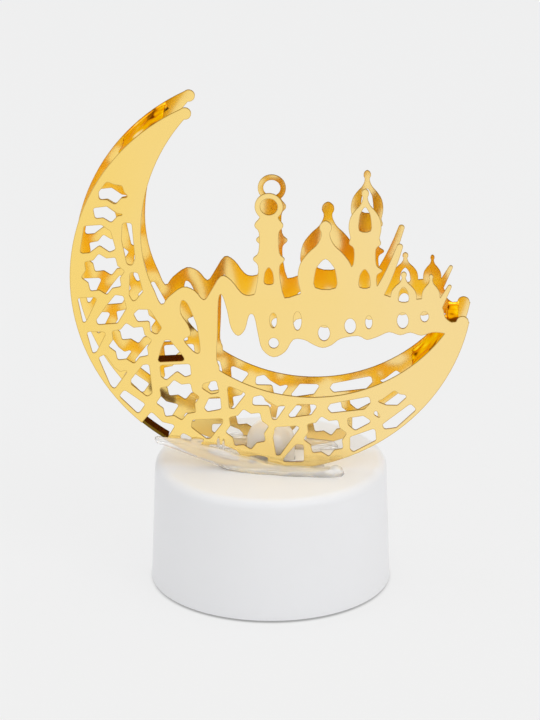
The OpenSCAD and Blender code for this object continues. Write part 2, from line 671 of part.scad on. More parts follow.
// Bottom cover: ring with a ledge for the battery cover, screw holes, foot seats, switch slot
module bottom_cover() {
    color([0.88, 0.88, 0.89]) difference() {
        translate([0, 0, foot_h]) cylinder(r = cover_r, h = cover_t, $fn = round_fn);
        translate([0, 0, foot_h - over])
            cylinder(d = door_d + 2 * run_gap, h = ledge_z - foot_h + over, $fn = round_fn);
        translate([0, 0, foot_h]) cylinder(r = ledge_r, h = cover_t + over, $fn = round_fn);
        for (i = [0 : lug_count - 1])
            ring_sector(ledge_r - over, lug_r + run_gap, ledge_z - over / 2, cover_top + over,
                        lug_place + door_turn + i * 360 / lug_count, lug_notch_span);
        for (a = boss_angles) rotate(a) translate([boss_at, 0, 0]) {
            translate([0, 0, foot_h - over])
                cylinder(r = screw_hole_r, h = cover_t + 2 * over, $fn = small_fn);
            translate([0, 0, foot_h - over])
                cylinder(r = screw_head_r + seat_gap, h = screw_head_t + over, $fn = small_fn);
        }
        for (a = foot_angles) rotate(a) translate([boss_at, 0, foot_h - over])
            cylinder(r = foot_r, h = foot_sink + over, $fn = small_fn);
        translate([-dish_l / 2, switch_y - dish_w / 2, foot_h - over])
            cube([dish_l, dish_w, dish_t + over]);
        translate([-(knob_l + switch_travel) / 2 - seat_gap, switch_y - knob_w / 2 - run_gap, foot_h])
            cube([knob_l + switch_travel + 2 * seat_gap, knob_w + 2 * run_gap, cover_t + over]);
    }
}

module cover_screws() {
    color([0.6, 0.6, 0.62])
    for (a = boss_angles) rotate(a) translate([boss_at, 0, 0]) difference() {
        union() {
            translate([0, 0, foot_h]) cylinder(r = screw_head_r, h = screw_head_t, $fn = small_fn);
            translate([0, 0, foot_h])
                cylinder(r = screw_r, h = cover_t + screw_reach - over, $fn = small_fn);
        }
        for (turn = [0, 90]) rotate(turn)
            translate([-screw_head_r / 2, -screw_slot_w / 2, foot_h - over])
                cube([screw_head_r, screw_slot_w, over + screw_head_t / 2]);
    }
}

module rubber_feet() {
    color([0.75, 0.75, 0.76]) for (a = foot_angles) rotate(a) translate([boss_at, 0, 0])
        cylinder(r = foot_r, h = foot_h + foot_sink, $fn = small_fn);
}

// Battery cover: disc, neck and lugs, with a grip bar in a round dish
module battery_cover() {
    color([0.9, 0.9, 0.91]) {
        difference() {
            translate([0, 0, foot_h]) cylinder(d = door_d, h = door_t, $fn = round_fn);
            translate([0, 0, foot_h - over])
                cylinder(r = grip_dish_r, h = door_recess_t + over, $fn = round_fn);
        }
        intersection() {
            translate([-grip_l / 2, -grip_w / 2, foot_h]) cube([grip_l, grip_w, door_t]);
            translate([0, 0, foot_h]) cylinder(r = grip_dish_r, h = door_t, $fn = round_fn);
        }
        translate([0, 0, foot_h + door_t])
            cylinder(r = neck_r, h = cover_top + run_gap + lug_t - foot_h - door_t, $fn = round_fn);
        for (i = [0 : lug_count - 1])
            ring_sector(neck_r - over, lug_r, cover_top + run_gap, cover_top + run_gap + lug_t,
                        lug_place + i * 360 / lug_count, lug_span);
    }
}

// Battery tray: box open below, ridges between the cells, slots for the solder tags, four legs
module battery_tray() {
    l = tray_in_l + 2 * tray_wall;
    w = tray_in_w + 2 * tray_wall;
    leg_x = min(l / 2 - leg_r / 2, sqrt(pow(cover_r - leg_r, 2) - pow(w / 2, 2)));
    color([0.2, 0.2, 0.21]) {
        difference() {
            intersection() {
                translate([-l / 2, -w / 2, tray_z]) cube([l, w, tray_top_in + tray_wall - tray_z]);
                translate([0, 0, tray_z]) cylinder(r = cover_r, h = base_h, $fn = round_fn);
            }
            translate([-tray_in_l / 2, -tray_in_w / 2, tray_z - over])
                cube([tray_in_l, tray_in_w, tray_top_in - tray_z + over]);
            for (x = [-1, 1]) tag_slot(x);
        }
        for (y = [-1, 1]) translate([-tray_in_l / 2, y * cell_pitch / 2, tray_top_in]) rotate([90, 0, 90])
            linear_extrude(tray_in_l)
                polygon([[-saddle_w / 2, 0], [0, -saddle_drop], [saddle_w / 2, 0]]);
        for (x = [-1, 1]) for (y = [-1, 1])
            translate([x * leg_x, y * w / 2, cover_top])
                cylinder(r = leg_r, h = tray_top_in - cover_top, $fn = small_fn);
    }
}

module tag_slot(x) {
    translate([x * (tray_in_l / 2 - plate_t / 2) - plate_t / 2 - seat_gap, -tag_w / 2 - seat_gap,
               tray_top_in - over])
        cube([plate_t + 2 * seat_gap, tag_w + 2 * seat_gap, tray_wall + 2 * over]);
}

// One cell: body, raised nub at its positive end; way 1 points the nub to +X
module cell(y, way) {
    color([0.75, 0.75, 0.78]) translate([way * spring_l / 2, y, cell_z]) rotate([0, 90 * way, 0])
        translate([0, 0, -cell_l / 2]) {
            cylinder(d = cell_d, h = cell_l - nub_l, $fn = round_fn);
            cylinder(d = nub_d, h = cell_l, $fn = round_fn);
        }
}

module cell_left() { cell(-cell_pitch, -1); }

module cell_middle() { cell(0, 1); }

module cell_right() { cell(cell_pitch, -1); }

// Cone springs between a cell's flat end and its contact plate
module cell_spring(y, way) {
    translate([-way * (tray_in_l / 2 - plate_t), y, cell_z]) rotate([0, 90 * way, 0])
        rotate_extrude($fn = round_fn)
            polygon([[spring_foot_r - spring_wire, 0], [spring_foot_r, 0], [spring_head_r, spring_l],
                     [spring_head_r - spring_wire, spring_l]]);
}

module cell_springs() {
    color([0.8, 0.8, 0.8]) {
        cell_spring(-cell_pitch, -1);
        cell_spring(0, 1);
        cell_spring(cell_pitch, -1);
    }
}

// Contact plates on both end walls, the middle of each with a tag through the tray's roof
module contact_plates() {
    color([0.82, 0.8, 0.72]) for (x = [-1, 1]) {
        for (y = [-1, 0, 1])
            translate([x * (tray_in_l / 2 - plate_t / 2) - plate_t / 2, y * cell_pitch - plate_w / 2,
                       cell_z - plate_w / 2])
                cube([plate_t, plate_w, plate_w]);
        translate([x * (tray_in_l / 2 - plate_t / 2) - plate_t / 2, -tag_w / 2, cell_z])
            cube([plate_t, tag_w, tray_top_in + tray_wall + tag_rise - cell_z]);
    }
}

// Switch body: box with a slot below for the knob's stem and three terminals on top
module switch_body() {
    room = carriage_l + switch_travel + 2 * seat_gap;
    color([0.7, 0.7, 0.72]) {
        difference() {
            translate([-switch_l / 2, switch_y - switch_w / 2, cover_top])
                cube([switch_l, switch_w, switch_h]);
            translate([-room / 2, switch_y - carriage_w / 2 - run_gap, cover_top + switch_wall])
                cube([room, carriage_w + 2 * run_gap, carriage_t + 2 * run_gap]);
            translate([-(knob_l + switch_travel) / 2 - seat_gap, switch_y - knob_w / 2 - run_gap,
                       cover_top - over])
                cube([knob_l + switch_travel + 2 * seat_gap, knob_w + 2 * run_gap,
                      switch_wall + over * 2]);
        }
        for (x = [-1, 0, 1])
            translate([x * switch_l / 3 - terminal_w / 2, switch_y - terminal_w / 4, cover_top + switch_h])
                cube([terminal_w, terminal_w / 2, terminal_h]);
    }
}

module switch_knob() {
    x = -switch_travel / 2;
    color([0.15, 0.15, 0.16]) {
        translate([x - knob_l / 2, switch_y - knob_w / 2, foot_h + knob_rise])
            cube([knob_l, knob_w, cover_top + switch_wall + 2 * run_gap - foot_h - knob_rise]);
        translate([x - carriage_l / 2, switch_y - carriage_w / 2, cover_top + switch_wall + run_gap])
            cube([carriage_l, carriage_w, carriage_t]);
    }
}

// Lead: straight runs between points, a ball at each bend
module lead(points) {
    for (i = [0 : len(points) - 2]) {
        d = points[i + 1] - points[i];
        translate(points[i]) rotate([0, acos(d[2] / norm(d)), atan2(d[1], d[0])])
            cylinder(r = lead_r, h = norm(d), $fn = small_fn);
    }
    for (i = [1 : len(points) - 2])
        translate(points[i]) sphere(r = lead_r * bend_ball_share, $fn = small_fn);
}

function terminal_top(x) = [x * switch_l / 3, switch_y, cover_top + switch_h + terminal_h];
board_under = top_under - flange_t - board_t;
tag_z = tray_top_in + tray_wall + tag_rise / 2;
high_z = (tray_top_in + tray_wall + board_under) / 2;

// From the tray's left tag to the switch
module lead_red() {
    color([0.8, 0.1, 0.1]) {
        a = [-tray_in_l / 2 + plate_t, 0, tag_z];
        b = terminal_top(-1);
        lead([a, a + [lead_bend, 0, 0], [b[0], b[1] - lead_bend, tag_z], b]);
    }
}

// From the switch to the board
module lead_white() {
    color([0.9, 0.9, 0.9]) {
        a = terminal_top(0);
        lead([a, a + [0, 0, lead_bend * 2], [0, board_d / 2 - lead_bend, high_z],
              [0, board_d / 2 - lead_bend, board_under]]);
    }
}

// From the tray's right tag to the board
module lead_black() {
    color([0.1, 0.1, 0.1]) {
        a = [tray_in_l / 2 - plate_t, 0, tag_z];
        lead([a, a - [lead_bend, 0, 0], [board_d / 2 - lead_bend, 0, high_z],
              [board_d / 2 - lead_bend, 0, board_under]]);
    }
}

front_crescent();
rear_crescent();
bridge_upper_left();
bridge_right_rim();
bridge_right_notch();
lug_inner_left();
lug_lower_left();
glue_front();
glue_rear();
base_shell();
light_lens();
led_board();
led_lamp();
board_resistor();
bottom_cover();
cover_screws();
rubber_feet();
battery_cover();
battery_tray();
cell_left();
cell_middle();
cell_right();
cell_springs();
contact_plates();
switch_body();
switch_knob();
lead_red();
lead_black();
lead_white();
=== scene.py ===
"""Looks of the crescent ornament: materials, glue, creased strips, light and camera.

Lengths are in metres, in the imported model's frame: +Z up, the front sheet faces -Y.
"""
import math

import bmesh
import bpy
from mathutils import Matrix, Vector, noise


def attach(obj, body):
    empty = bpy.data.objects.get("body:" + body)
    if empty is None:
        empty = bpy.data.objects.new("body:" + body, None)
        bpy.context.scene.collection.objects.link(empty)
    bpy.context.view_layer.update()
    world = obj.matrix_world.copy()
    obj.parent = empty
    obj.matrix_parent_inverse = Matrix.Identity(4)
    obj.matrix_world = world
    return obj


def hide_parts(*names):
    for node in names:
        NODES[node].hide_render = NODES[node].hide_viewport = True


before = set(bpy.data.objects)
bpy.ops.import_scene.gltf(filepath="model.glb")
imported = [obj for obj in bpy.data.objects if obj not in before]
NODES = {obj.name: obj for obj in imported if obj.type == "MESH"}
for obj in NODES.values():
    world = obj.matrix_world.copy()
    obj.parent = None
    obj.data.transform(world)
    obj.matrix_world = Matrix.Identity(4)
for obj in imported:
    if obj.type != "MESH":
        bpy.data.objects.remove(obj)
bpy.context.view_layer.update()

MM = 0.001
BODY = "ornament"

# The moon's own measures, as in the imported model
MOON_R = 62 * MM
MOON_X = 0.6 * MM
BASE_TOP = 40 * MM
MOON_Z = BASE_TOP + MOON_R - 0.5 * MM
REAR_Y = 8.6 * MM
SHEET_T = 0.5 * MM


# Materials

def material(name, color, roughness, metallic=0.0, **sockets):
    """A node material whose plain numbers sit on the shader's own sockets."""
    mat = bpy.data.materials.new(name)
    mat.use_nodes = True
    mat.diffuse_color = (*color, 1)
    shader = mat.node_tree.nodes["Principled BSDF"]
    shader.inputs["Base Color"].default_value = (*color, 1)
    shader.inputs["Roughness"].default_value = roughness
    shader.inputs["Metallic"].default_value = metallic
    for label, value in sockets.items():
        shader.inputs[label.replace("_", " ")].default_value = value
    return mat, mat.node_tree, shader


def add(tree, kind, **values):
    """New node; each value goes to the socket of its name, or else to the node itself."""
    node = tree.nodes.new(kind)
    for key, value in values.items():
        if key in node.inputs:
            node.inputs[key].default_value = value
        else:
            setattr(node, key, value)
    return node


def noise_of(tree, scale, detail, stretch=(1, 1, 1)):
    """Noise in the object's own metres, stretched along its axes."""
    place = add(tree, "ShaderNodeTexCoord")
    turn = add(tree, "ShaderNodeMapping", Scale=stretch)
    tree.links.new(place.outputs["Object"], turn.inputs["Vector"])
    grain = add(tree, "ShaderNodeTexNoise", Scale=scale, Detail=detail)
    tree.links.new(turn.outputs["Vector"], grain.inputs["Vector"])
    return grain


def remap(tree, source, low, high, a=0.0, b=1.0):
    """Maps a value from low..high to a..b."""
    node = add(tree, "ShaderNodeMapRange")
    for label, value in (("From Min", low), ("From Max", high), ("To Min", a), ("To Max", b)):
        node.inputs[label].default_value = value
    tree.links.new(source, node.inputs["Value"])
    return node.outputs["Result"]


def calc(tree, operation, *values, clamp=False):
    """Math node on numbers and on other nodes' outputs."""
    node = add(tree, "ShaderNodeMath", operation=operation, use_clamp=clamp)
    for socket, value in zip(node.inputs, values):
        if isinstance(value, (int, float)):
            socket.default_value = value
        else:
            tree.links.new(value, socket)
    return node.outputs["Value"]


def mix(tree, factor, low, high):
    """Mixes two colours, each a tuple or another node's output."""
    node = add(tree, "ShaderNodeMix", data_type="RGBA")
    tree.links.new(factor, node.inputs["Factor"])
    for socket, value in ((node.inputs[6], low), (node.inputs[7], high)):
        if isinstance(value, tuple):
            socket.default_value = (*value, 1)
        else:
            tree.links.new(value, socket)
    return node.outputs[2]


def coordinate(tree, kind):
    """One kind of coordinate, as separate numbers by axis."""
    place = add(tree, "ShaderNodeTexCoord")
    split = add(tree, "ShaderNodeSeparateXYZ")
    tree.links.new(place.outputs[kind], split.inputs["Vector"])
    return split.outputs


def ramp(tree, source, low, high, a, b):
    """Maps a factor between low and high to the colours a and b."""
    node = add(tree, "ShaderNodeValToRGB")
    node.color_ramp.elements[0].position = low
    node.color_ramp.elements[0].color = (*a, 1)
    node.color_ramp.elements[1].position = high
    node.color_ramp.elements[1].color = (*b, 1)
    tree.links.new(source, node.inputs["Fac"])
    return node


def bump(tree, shader, source, strength, distance):
    """Lets source, from 0 to 1, raise the surface by up to distance."""
    node = add(tree, "ShaderNodeBump", Strength=strength, Distance=distance)
    tree.links.new(source, node.inputs["Height"])
    tree.links.new(node.outputs["Normal"], shader.inputs["Normal"])


METAL_WAVE = 0.05              # strength of the slow waves in plated metal
MOTTLE = 0.35                  # how far random clouds shift the painted sheen that drifts along X
EDGE_FROM, EDGE_TO = 0.3, 0.8  # share of Y in the normal: cut edge (painted shade on the gilt) below, face above
RIM_SHADE_REACH = 0.32 * MM          # how far the painted shade line reaches in from a sheet's edges
RIM_SHADE_FROM, RIM_SHADE_TO = 0.6, 0.95   # open share of the surroundings: full painted shade below, none above
RIM_SHADE_TINT = 2.2                 # how much lighter that painted shade line is than the cut edge


def gold(name, color, deep, roughness, pale=None, inner=None, rim=0.0):
    """Gilt or plated metal: a painted sheen that drifts paler along X, fine streaks, cut edges in
    deep.

    inner is a deeper tone for the side that faces +Y, painted bounce light between the sheets,
    and rim the strength of a thin darker line of painted shade along every edge.
    """
    mat, tree, shader = material(name, color, roughness, metallic=1.0)
    shader.inputs["Specular Tint"].default_value = (*color, 1)
    # painted sheen: the tone grows paler along X where the key light's sheen falls, and random
    # clouds shift it
    along = remap(tree, coordinate(tree, "Object")["X"], -MOON_R, MOON_R)
    cloud = noise_of(tree, 45, 2.0)
    painted_sheen_drift = calc(tree, "MULTIPLY_ADD", cloud.outputs["Fac"], MOTTLE, along)
    face = ramp(tree, painted_sheen_drift, 0.2, 1.15, color, pale or color).outputs["Color"]
    depth = coordinate(tree, "Normal")["Y"]
    # painted reflection: the side facing +Y takes a deeper tone for light bounced between the
    # sheets
    if inner:
        face = mix(tree, calc(tree, "GREATER_THAN", depth, 0.5), face, inner)
    # painted shade: a thin darker line along every edge, found by occlusion inside the sheet
    if rim:
        near = add(tree, "ShaderNodeAmbientOcclusion", samples=8, inside=True, only_local=True,
                   Distance=RIM_SHADE_REACH)
        line = remap(tree, near.outputs["AO"], RIM_SHADE_FROM, RIM_SHADE_TO, rim, 0.0)
        face = mix(tree, line, face, tuple(c * RIM_SHADE_TINT for c in deep))
    # cut edges take deep, which on the gilt sheets is a dark painted shade
    flat = remap(tree, calc(tree, "ABSOLUTE", depth), EDGE_FROM, EDGE_TO)
    tree.links.new(mix(tree, flat, deep, face), shader.inputs["Base Color"])
    streaks = noise_of(tree, 900, 2.0, (1, 1, 0.06))
    level = remap(tree, streaks.outputs["Fac"], 0, 1, roughness * 0.8, roughness * 1.25)
    tree.links.new(level, shader.inputs["Roughness"])
    roll = noise_of(tree, 28, 1.0)
    bump(tree, shader, roll.outputs["Fac"], METAL_WAVE, 2 * MM)
    return mat


def foil(name, dark, deep, bright, pale):
    """Bent gilt foil with painted reflections laid by noise: painted shade in dark folds, a deep
    tone, a bright one and painted pale glints.
    """
    mat, tree, shader = material(name, deep, 0.16, metallic=1.0)
    shader.inputs["Specular Tint"].default_value = (*deep, 1)
    cloud = noise_of(tree, 210, 1.0, (1, 0.6, 1))
    # painted light: from dark painted fold shade through deep and bright gilt to pale painted
    # glints
    tone = ramp(tree, cloud.outputs["Fac"], 0.33, 0.70, dark, pale)
    for at, color in ((0.40, deep), (0.50, bright), (0.62, bright)):
        tone.color_ramp.elements.new(at).color = (*color, 1)
    tree.links.new(tone.outputs["Color"], shader.inputs["Base Color"])
    roll = noise_of(tree, 500, 1.0)
    bump(tree, shader, roll.outputs["Fac"], 0.25, 0.5 * MM)
    return mat


def plastic(name, color, roughness, grain=0.04, tint=0.97, **sockets):
    """Moulded plastic: slight tone drift and a very fine eroded surface."""
    mat, tree, shader = material(name, color, roughness, **sockets)
    drift = noise_of(tree, 60, 3.0)
    tone = ramp(tree, drift.outputs["Fac"], 0.25, 0.75, [c * tint for c in color], color)
    tree.links.new(tone.outputs["Color"], shader.inputs["Base Color"])
    fine = noise_of(tree, 2600, 2.0)
    bump(tree, shader, fine.outputs["Fac"], grain, 0.05 * MM)
    return mat


CLOUD_TINT = 0.98  # tone of the clouds in clear material


def clear(name, color, roughness, grain, scale, **sockets):
    """Clear or milky set material: transmission with a cloudy tone and soft ripples."""
    mat, tree, shader = material(name, color, roughness, **sockets)
    drift = noise_of(tree, scale, 2.0)
    tone = ramp(tree, drift.outputs["Fac"], 0.3, 0.7, [c * CLOUD_TINT for c in color], color)
    tree.links.new(tone.outputs["Color"], shader.inputs["Base Color"])
    ripple = noise_of(tree, scale * 0.6, 2.0)
    bump(tree, shader, ripple.outputs["Fac"], grain, 0.4 * MM)
    return mat


CELL_HALF = 23 * MM  # the jacket's tones spread this far to both sides


def banded(name, low, middle, high, edges, roughness, metallic):
    """Three tones along the object's X, as a cell's jacket has."""
    mat, tree, shader = material(name, middle, roughness, metallic=metallic)
    span = remap(tree, coordinate(tree, "Object")["X"], -CELL_HALF, CELL_HALF)
    tone = ramp(tree, span, 0, 1, low, high)
    tone.color_ramp.interpolation = "CONSTANT"
    for at, color in zip(edges, (middle, high)):
        tone.color_ramp.elements.new(at).color = (*color, 1)
    tree.links.new(tone.outputs["Color"], shader.inputs["Base Color"])
    scuff = noise_of(tree, 1200, 2.0, (0.1, 1, 1))
    bump(tree, shader, scuff.outputs["Fac"], 0.05, 0.05 * MM)
    return mat


GILT = (0.98, 0.705, 0.20)
# pale end of the painted sheen along X
GILT_SHEEN_PAINTED = (0.97, 0.735, 0.315)
# deeper tone of the +Y side, a painted reflection of light bounced between the sheets
GILT_INNER_BOUNCE_PAINTED = (1.0, 0.72, 0.05)
# dark brown on the cut edges, painted shade for the dark they show
GILT_EDGE_PAINTED_SHADE = (0.16, 0.08, 0.012)
BRONZE = (0.17, 0.10, 0.010)

sheet_front = gold("sheet_gold_front", GILT, GILT_EDGE_PAINTED_SHADE, 0.17, pale=GILT_SHEEN_PAINTED, inner=GILT_INNER_BOUNCE_PAINTED,
                   rim=0.55)
sheet_rear = gold("sheet_gold_rear", (1.0, 0.715, 0.20), GILT_EDGE_PAINTED_SHADE, 0.15, pale=GILT_SHEEN_PAINTED, rim=0.55)
# creased strips: colours run from painted fold shade to painted glints
strip_gold = foil("strip_gold_painted_glints", (0.10, 0.042, 0.006), (0.92, 0.47, 0.02),
                  (1.0, 0.70, 0.09), (1.0, 0.88, 0.55))
lug_bronze = gold("lug_bronze_dark", BRONZE, BRONZE, 0.28)
base_white = plastic("base_white_satin", (0.874, 0.874, 0.888), 0.42, tint=0.985,
                     Specular_IOR_Level=0.3)
cover_white = plastic("cover_white_satin", (0.83, 0.83, 0.83), 0.38, tint=0.98)
foot_rubber = plastic("foot_rubber_pale", (0.62, 0.62, 0.61), 0.75, grain=0.2)
tray_black = plastic("tray_black_moulded", (0.03, 0.03, 0.03), 0.45, grain=0.1, tint=0.8)
knob_black = plastic("knob_black_moulded", (0.02, 0.02, 0.02), 0.4, grain=0.1, tint=0.8)
board_green = plastic("board_green_mask", (0.03, 0.14, 0.05), 0.3, tint=0.85)
resistor_tan = plastic("resistor_tan_lacquer", (0.55, 0.38, 0.2), 0.35, tint=0.8)
switch_grey = gold("switch_tin_plate", (0.62, 0.62, 0.63), (0.6, 0.6, 0.6), 0.35)
spring_steel = gold("spring_nickel", (0.7, 0.69, 0.66), (0.68, 0.67, 0.64), 0.25)
plate_steel = gold("plate_nickel", (0.72, 0.70, 0.64), (0.7, 0.68, 0.62), 0.3)
screw_steel = gold("screw_zinc", (0.6, 0.6, 0.61), (0.58, 0.58, 0.59), 0.3)
lead_red = plastic("lead_red_jacket", (0.45, 0.02, 0.015), 0.4, tint=0.85)
lead_black = plastic("lead_black_jacket", (0.02, 0.02, 0.02), 0.4, tint=0.8)
lead_white = plastic("lead_white_jacket", (0.75, 0.75, 0.73), 0.4, tint=0.93)
jacket = banded("cell_jacket_foil", (0.35, 0.36, 0.4), (0.05, 0.09, 0.16), (0.5, 0.42, 0.2),
                (0.12, 0.7), 0.3, metallic=0.6)
glue_clear = clear("glue_set_milky", (1.0, 0.985, 0.965), 0.08, 0.08, 200,
                   Transmission_Weight=0.66, IOR=1.2, Coat_Weight=1.0, Coat_Roughness=0.05,
                   Coat_IOR=1.8, Subsurface_Weight=0.7, Subsurface_Scale=3 * MM,
                   Subsurface_Radius=(1.0, 0.97, 0.92))
lens_clear = clear("lens_clear_moulded", (1.0, 0.95, 0.92), 0.3, 0.05, 150,
                   Transmission_Weight=0.12, IOR=1.3, Coat_Weight=0.6,
                   Subsurface_Weight=0.6, Subsurface_Scale=3 * MM,
                   Subsurface_Radius=(0.85, 0.95, 1.0))
led_clear = clear("led_resin", (0.97, 0.95, 0.85), 0.05, 0.02, 150,
                  Transmission_Weight=0.9, IOR=1.5)

LOOKS = {
    "front_crescent": sheet_front, "rear_crescent": sheet_rear,
    "bridge_upper_left": strip_gold, "bridge_right_rim": strip_gold,
    "bridge_right_notch": strip_gold, "lug_inner_left": lug_bronze, "lug_lower_left": lug_bronze,
    "glue_front": glue_clear, "glue_rear": glue_clear, "base_shell": base_white,
    "light_lens": lens_clear, "led_board": board_green, "led_lamp": led_clear,
    "board_resistor": resistor_tan, "bottom_cover": cover_white, "cover_screws": screw_steel,
    "rubber_feet": foot_rubber, "battery_cover": cover_white, "battery_tray": tray_black,
    "cell_left": jacket, "cell_middle": jacket, "cell_right": jacket,
    "cell_springs": spring_steel, "contact_plates": plate_steel, "switch_body": switch_grey,
    "switch_knob": knob_black, "lead_red": lead_red, "lead_black": lead_black,
    "lead_white": lead_white,
}
for node, mat in LOOKS.items():
    NODES[node].data.materials.clear()
    NODES[node].data.materials.append(mat)


# Creased strips between the sheets

def place_on_moon(u, v):
    """A point in shares of the moon's radius, as x and z."""
    return MOON_X + MOON_R * u, MOON_Z + MOON_R * v


def arc_path(centre, radius, start, end, steps):
    """Points of an arc with the direction that points away from its centre."""
    x0, z0 = place_on_moon(*centre)
    path = []
    for i in range(steps + 1):
        turn = math.radians(start + (end - start) * i / steps)
        out = (math.cos(turn), math.sin(turn))
        path.append(((x0 + radius * out[0], z0 + radius * out[1]), out))
    return path


STRIP_T = 0.6 * MM
FOIL_T = STRIP_T * 0.6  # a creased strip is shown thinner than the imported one
TAB_H = 2.2 * MM
GAP_HALF = REAR_Y - SHEET_T / 2
LEAN = 0.25  # share of the lift by which the loose rows lean to the tabs' side
SWAY = 1.4   # how far, in mm, the creases wander along Y


def creased_strip(name, node, path, tab_way, bands, lift, seed):
    """A crumpled strip across the gap, in so many bands, with a tab flat on each sheet.

    tab_way is 1 where the tabs point away from the arc's centre and -1 where they
    point to it.
    """
    rows = [(-GAP_HALF + STRIP_T / 2, TAB_H, 0)]
    for k in range(bands + 1):
        side = 0 if k in (0, bands) else 1
        rows.append(((-1 + 2 * k / bands) * (GAP_HALF - STRIP_T / 2), 0.0, side))
    rows.append((GAP_HALF - STRIP_T / 2, TAB_H, 0))
    mesh = bmesh.new()
    grid = []
    for k, (y, drop, loose) in enumerate(rows):
        line = []
        for i, ((x, z), out) in enumerate(path):
            push = noise.noise(Vector((i * 1.7 + seed, k * 1.3, seed * 2.3))) * loose
            pull = noise.noise(Vector((seed * 3.1, i * 1.9, k * 1.1 + seed))) * loose
            reach = (push + LEAN * tab_way * loose) * lift + tab_way * drop
            line.append(mesh.verts.new((x + out[0] * reach, y + pull * SWAY * MM,
                                        z + out[1] * reach)))
        grid.append(line)
    for k in range(len(grid) - 1):
        for i in range(len(path) - 1):
            a, b, c, d = grid[k][i], grid[k][i + 1], grid[k + 1][i + 1], grid[k + 1][i]
            if 0 < k < len(grid) - 2:
                if (i + k + seed) % 2:
                    mesh.faces.new((a, b, c))
                    mesh.faces.new((a, c, d))
                else:
                    mesh.faces.new((a, b, d))
                    mesh.faces.new((b, c, d))
            else:
                mesh.faces.new((a, b, c, d))
    bmesh.ops.recalc_face_normals(mesh, faces=mesh.faces)
    data = bpy.data.meshes.new(name)
    mesh.to_mesh(data)
    mesh.free()
    piece = bpy.data.objects.new(name, data)
    bpy.context.collection.objects.link(piece)
    data.materials.append(strip_gold)
    data.shade_smooth()
    bent = piece.modifiers.new("bent", "SUBSURF")
    bent.levels = bent.render_levels = 2
    bent.boundary_smooth = "PRESERVE_CORNERS"
    thick = piece.modifiers.new("thickness", "SOLIDIFY")
    thick.thickness = FOIL_T
    thick.offset = 0
    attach(piece, BODY)
    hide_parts(node)


creased_strip("strip_upper_left", "bridge_upper_left",
              arc_path((0, 0), MOON_R - STRIP_T / 2, 139, 123, 6), -1, 5, 1.5 * MM, 3)
creased_strip("strip_right_rim", "bridge_right_rim",
              arc_path((0.19, 0.205), 0.812 * MOON_R + STRIP_T / 2, -52, -35, 5), 1, 5,
              1.5 * MM, 8)
NOTCH = [place_on_moon(0.87 + 0.055 * i / 2, -0.19) for i in range(3)]
creased_strip("strip_right_notch", "bridge_right_notch",
              [((x, z - STRIP_T / 2), (0, 1)) for x, z in NOTCH], -1, 4, 1.0 * MM, 5)


# Set glue along the feet of both sheets

GLUE_RUN = 0.28        # squeeze along X, so that the ripples run along the bead
GLUE_PITCH = 0.55      # ripples per mm
GLUE_WAVE = 0.4        # height of the ripples, in mm
GLUE_LIFT = 0.02 * MM  # keeps the skin clear of the base's top


def sweep(mesh, rings, sides=20):
    """Skin through rings of [x, y, z, half depth, half height] in mm."""
    loops = []
    for x, y, z, deep, high in rings:
        loop = []
        for k in range(sides):
            turn = 2 * math.pi * k / sides
            loop.append(mesh.verts.new((x * MM, (y + deep * math.cos(turn)) * MM,
                                        (z + high * math.sin(turn)) * MM)))
        loops.append(loop)
    for a, b in zip(loops, loops[1:]):
        for k in range(sides):
            mesh.faces.new((a[k], a[(k + 1) % sides], b[(k + 1) % sides], b[k]))
    mesh.faces.new(loops[0])
    mesh.faces.new(list(reversed(loops[-1])))


def glue_body(name, node, sweeps, lumps, seed):
    """Glue run from several sweeps and lumps, remeshed to one skin that lies on the base."""
    mesh = bmesh.new()
    for rings in sweeps:
        sweep(mesh, rings)
    for x, y, z, rx, ry, rz in lumps:
        ball = bmesh.ops.create_icosphere(mesh, subdivisions=3, radius=1.0)
        for v in ball["verts"]:
            v.co = Vector(((x + rx * v.co.x) * MM, (y + ry * v.co.y) * MM, (z + rz * v.co.z) * MM))
    bmesh.ops.recalc_face_normals(mesh, faces=mesh.faces)
    data = bpy.data.meshes.new(name)
    mesh.to_mesh(data)
    mesh.free()
    piece = bpy.data.objects.new(name, data)
    bpy.context.collection.objects.link(piece)
    skin = piece.modifiers.new("one_skin", "REMESH")
    skin.mode = "VOXEL"
    skin.voxel_size = 0.25 * MM
    relax = piece.modifiers.new("relaxed", "SMOOTH")
    relax.factor = 0.6
    relax.iterations = 5
    solid = piece.evaluated_get(bpy.context.evaluated_depsgraph_get())
    done = bpy.data.meshes.new_from_object(solid)
    piece.modifiers.clear()
    piece.data = done
    for v in done.vertices:
        at = Vector((v.co.x * GLUE_RUN, v.co.y, v.co.z)) / MM
        wave = noise.noise(at * GLUE_PITCH + Vector((seed, 0, 0))) * GLUE_WAVE
        v.co += v.normal * wave * MM
        v.co.z = max(v.co.z, BASE_TOP + GLUE_LIFT)
    done.shade_smooth()
    done.materials.clear()
    done.materials.append(glue_clear)
    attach(piece, BODY)
    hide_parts(node)


